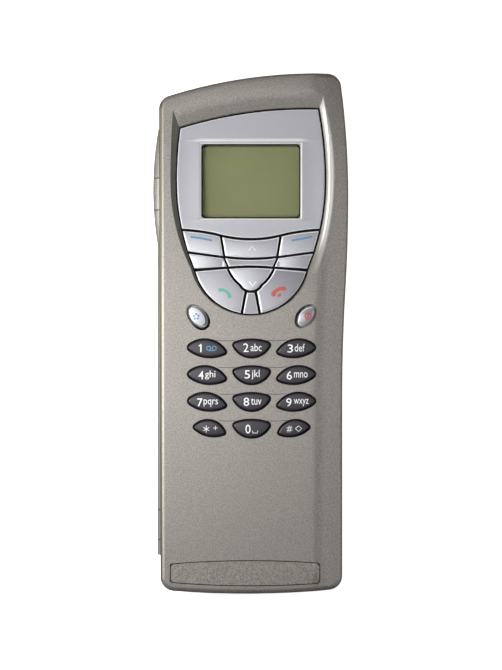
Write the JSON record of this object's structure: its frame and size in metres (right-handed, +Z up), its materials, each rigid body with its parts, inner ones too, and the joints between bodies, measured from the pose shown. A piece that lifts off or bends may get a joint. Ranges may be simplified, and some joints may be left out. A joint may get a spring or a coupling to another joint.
{
  "type": "clamshell smartphone",
  "caption": "Closed clamshell phone: a tilted small display and phone keypad on the cover, and a keyboard with a wide display inside.",
  "frame": {"origin": "under the middle of the closed phone, on the surface it lies on", "axes": "+Y along the phone towards the earpiece end, +X from the hinge towards the opening edge, +Z up through the cover with the small display"},
  "size_m": [0.0595, 0.158, 0.0271],
  "materials": {
    "cover_paint": "moulded shell in satin metallic paint",
    "plate_paint": "fine-grained metallic paint",
    "bezel_paint": "light silver metallic paint",
    "menu_key_paint": "bright silver metallic paint",
    "number_key_plastic": "satin dark plastic with white legends",
    "oval_key_plastic": "satin white plastic",
    "frame_plastic": "matt black",
    "clear_window": "clear hard-coated plastic pane",
    "small_display": "unlit reflective liquid crystal",
    "wide_display": "unlit colour liquid crystal",
    "inner_plastic": "fine-textured dark grey",
    "command_key_plastic": "satin grey",
    "keycap_plastic": "satin dark grey",
    "program_key_plastic": "satin mid grey",
    "keypad_rubber": "silicone",
    "circuit_board": "green solder resist",
    "battery_shell": "satin grey",
    "latch_plastic": "satin black",
    "steel": "plain",
    "speaker_metal": "plain",
    "reader_metal": "folded sheet",
    "connector_plastic": "black",
    "infrared_plastic": "dark red, clear to infrared",
    "antenna_metal": "plated sheet"
  },
  "bodies": {
    "base": {"keyboard_cover": "cover_paint", "bottom_cover": "cover_paint", "main_board": "circuit_board", "keyboard_mat": "keypad_rubber", "hinge_pins": "steel", "application_keys": "program_key_plastic", "letter_keys": "keycap_plastic", "loudspeaker": "speaker_metal", "earpiece": "speaker_metal", "microphone": "speaker_metal", "card_reader": "reader_metal", "system_connector": "connector_plastic", "charger_jack": "connector_plastic", "infrared_window": "infrared_plastic", "antenna": "antenna_metal", "case_screws": "steel"},
    "lid": {"lid_outer_cover": "cover_paint", "cover_plate": "plate_paint", "display_bezel": "bezel_paint", "phone_display_window": "clear_window", "phone_display": "small_display", "key_frame": "frame_plastic", "key_spacers": "bezel_paint", "phone_keypad_board": "circuit_board", "phone_keypad_mat": "keypad_rubber", "lid_inner_cover": "inner_plastic", "inner_display_window": "clear_window", "inner_display": "wide_display"},
    "key_1": {"key_1": "number_key_plastic"},
    "key_2": {"key_2": "number_key_plastic"},
    "key_3": {"key_3": "number_key_plastic"},
    "key_4": {"key_4": "number_key_plastic"},
    "key_5": {"key_5": "number_key_plastic"},
    "key_6": {"key_6": "number_key_plastic"},
    "key_7": {"key_7": "number_key_plastic"},
    "key_8": {"key_8": "number_key_plastic"},
    "key_9": {"key_9": "number_key_plastic"},
    "key_star": {"key_star": "number_key_plastic"},
    "key_0": {"key_0": "number_key_plastic"},
    "key_hash": {"key_hash": "number_key_plastic"},
    "soft_key_left": {"soft_key_left": "menu_key_paint"},
    "soft_key_right": {"soft_key_right": "menu_key_paint"},
    "scroll_up_key": {"scroll_up_key": "menu_key_paint"},
    "scroll_down_key": {"scroll_down_key": "menu_key_paint"},
    "call_key": {"call_key": "menu_key_paint"},
    "end_key": {"end_key": "menu_key_paint"},
    "profile_key": {"profile_key": "oval_key_plastic"},
    "power_key": {"power_key": "oval_key_plastic"},
    "command_key_1": {"command_key_1": "command_key_plastic"},
    "command_key_2": {"command_key_2": "command_key_plastic"},
    "command_key_3": {"command_key_3": "command_key_plastic"},
    "command_key_4": {"command_key_4": "command_key_plastic"},
    "enter_key": {"enter_key": "keycap_plastic"},
    "space_bar": {"space_bar": "keycap_plastic"},
    "arrow_up_key": {"arrow_up_key": "keycap_plastic"},
    "arrow_left_key": {"arrow_left_key": "keycap_plastic"},
    "arrow_down_key": {"arrow_down_key": "keycap_plastic"},
    "arrow_right_key": {"arrow_right_key": "keycap_plastic"},
    "battery": {"battery": "battery_shell"},
    "battery_latch": {"battery_latch": "latch_plastic"}
  },
  "joints": [
    {"name": "lid_hinge", "type": "hinge", "parent": "base", "child": "lid", "pos_m": [-0.0234, 0, 0.0158], "axis": [0, -1, 0], "range_deg": [0, 130]},
    {"name": "key_1_press", "type": "slide", "parent": "lid", "child": "key_1", "axis": [0, 0, -1], "range_m": [0, 0.0005], "stiffness_N_per_m": 400},
    {"name": "key_2_press", "type": "slide", "parent": "lid", "child": "key_2", "axis": [0, 0, -1], "range_m": [0, 0.0005], "stiffness_N_per_m": 400},
    {"name": "key_3_press", "type": "slide", "parent": "lid", "child": "key_3", "axis": [0, 0, -1], "range_m": [0, 0.0005], "stiffness_N_per_m": 400},
    {"name": "key_4_press", "type": "slide", "parent": "lid", "child": "key_4", "axis": [0, 0, -1], "range_m": [0, 0.0005], "stiffness_N_per_m": 400},
    {"name": "key_5_press", "type": "slide", "parent": "lid", "child": "key_5", "axis": [0, 0, -1], "range_m": [0, 0.0005], "stiffness_N_per_m": 400},
    {"name": "key_6_press", "type": "slide", "parent": "lid", "child": "key_6", "axis": [0, 0, -1], "range_m": [0, 0.0005], "stiffness_N_per_m": 400},
    {"name": "key_7_press", "type": "slide", "parent": "lid", "child": "key_7", "axis": [0, 0, -1], "range_m": [0, 0.0005], "stiffness_N_per_m": 400},
    {"name": "key_8_press", "type": "slide", "parent": "lid", "child": "key_8", "axis": [0, 0, -1], "range_m": [0, 0.0005], "stiffness_N_per_m": 400},
    {"name": "key_9_press", "type": "slide", "parent": "lid", "child": "key_9", "axis": [0, 0, -1], "range_m": [0, 0.0005], "stiffness_N_per_m": 400},
    {"name": "key_star_press", "type": "slide", "parent": "lid", "child": "key_star", "axis": [0, 0, -1], "range_m": [0, 0.0005], "stiffness_N_per_m": 400},
    {"name": "key_0_press", "type": "slide", "parent": "lid", "child": "key_0", "axis": [0, 0, -1], "range_m": [0, 0.0005], "stiffness_N_per_m": 400},
    {"name": "key_hash_press", "type": "slide", "parent": "lid", "child": "key_hash", "axis": [0, 0, -1], "range_m": [0, 0.0005], "stiffness_N_per_m": 400},
    {"name": "profile_key_press", "type": "slide", "parent": "lid", "child": "profile_key", "axis": [0, 0, -1], "range_m": [0, 0.0005], "stiffness_N_per_m": 400},
    {"name": "power_key_press", "type": "slide", "parent": "lid", "child": "power_key", "axis": [0, 0, -1], "range_m": [0, 0.0005], "stiffness_N_per_m": 400},
    {"name": "soft_key_left_press", "type": "slide", "parent": "lid", "child": "soft_key_left", "axis": [0, -0.0279, -0.9996], "range_m": [0, 0.0004], "stiffness_N_per_m": 400},
    {"name": "soft_key_right_press", "type": "slide", "parent": "lid", "child": "soft_key_right", "axis": [0, -0.0279, -0.9996], "range_m": [0, 0.0004], "stiffness_N_per_m": 400},
    {"name": "scroll_up_key_press", "type": "slide", "parent": "lid", "child": "scroll_up_key", "axis": [0, -0.0279, -0.9996], "range_m": [0, 0.0004], "stiffness_N_per_m": 400},
    {"name": "scroll_down_key_press", "type": "slide", "parent": "lid", "child": "scroll_down_key", "axis": [0, -0.0279, -0.9996], "range_m": [0, 0.0004], "stiffness_N_per_m": 400},
    {"name": "call_key_press", "type": "slide", "parent": "lid", "child": "call_key", "axis": [0, -0.0279, -0.9996], "range_m": [0, 0.0004], "stiffness_N_per_m": 400},
    {"name": "end_key_press", "type": "slide", "parent": "lid", "child": "end_key", "axis": [0, -0.0279, -0.9996], "range_m": [0, 0.0004], "stiffness_N_per_m": 400},
    {"name": "command_key_1_press", "type": "slide", "parent": "lid", "child": "command_key_1", "axis": [0, 0, 1], "range_m": [0, 0.0004], "stiffness_N_per_m": 400},
    {"name": "command_key_2_press", "type": "slide", "parent": "lid", "child": "command_key_2", "axis": [0, 0, 1], "range_m": [0, 0.0004], "stiffness_N_per_m": 400},
    {"name": "command_key_3_press", "type": "slide", "parent": "lid", "child": "command_key_3", "axis": [0, 0, 1], "range_m": [0, 0.0004], "stiffness_N_per_m": 400},
    {"name": "command_key_4_press", "type": "slide", "parent": "lid", "child": "command_key_4", "axis": [0, 0, 1], "range_m": [0, 0.0004], "stiffness_N_per_m": 400},
    {"name": "enter_key_press", "type": "slide", "parent": "base", "child": "enter_key", "axis": [0, 0, -1], "range_m": [0, 0.0005], "stiffness_N_per_m": 400},
    {"name": "space_bar_press", "type": "slide", "parent": "base", "child": "space_bar", "axis": [0, 0, -1], "range_m": [0, 0.0005], "stiffness_N_per_m": 400},
    {"name": "arrow_up_key_press", "type": "slide", "parent": "base", "child": "arrow_up_key", "axis": [0, 0, -1], "range_m": [0, 0.0005], "stiffness_N_per_m": 400},
    {"name": "arrow_left_key_press", "type": "slide", "parent": "base", "child": "arrow_left_key", "axis": [0, 0, -1], "range_m": [0, 0.0005], "stiffness_N_per_m": 400},
    {"name": "arrow_down_key_press", "type": "slide", "parent": "base", "child": "arrow_down_key", "axis": [0, 0, -1], "range_m": [0, 0.0005], "stiffness_N_per_m": 400},
    {"name": "arrow_right_key_press", "type": "slide", "parent": "base", "child": "arrow_right_key", "axis": [0, 0, -1], "range_m": [0, 0.0005], "stiffness_N_per_m": 400},
    {"name": "battery_slide", "type": "slide", "parent": "base", "child": "battery", "axis": [0, 0, -1], "range_m": [0, 0.012]},
    {"name": "latch_slide", "type": "slide", "parent": "base", "child": "battery_latch", "axis": [0, 1, 0], "range_m": [0, 0.002], "stiffness_N_per_m": 400}
  ]
}
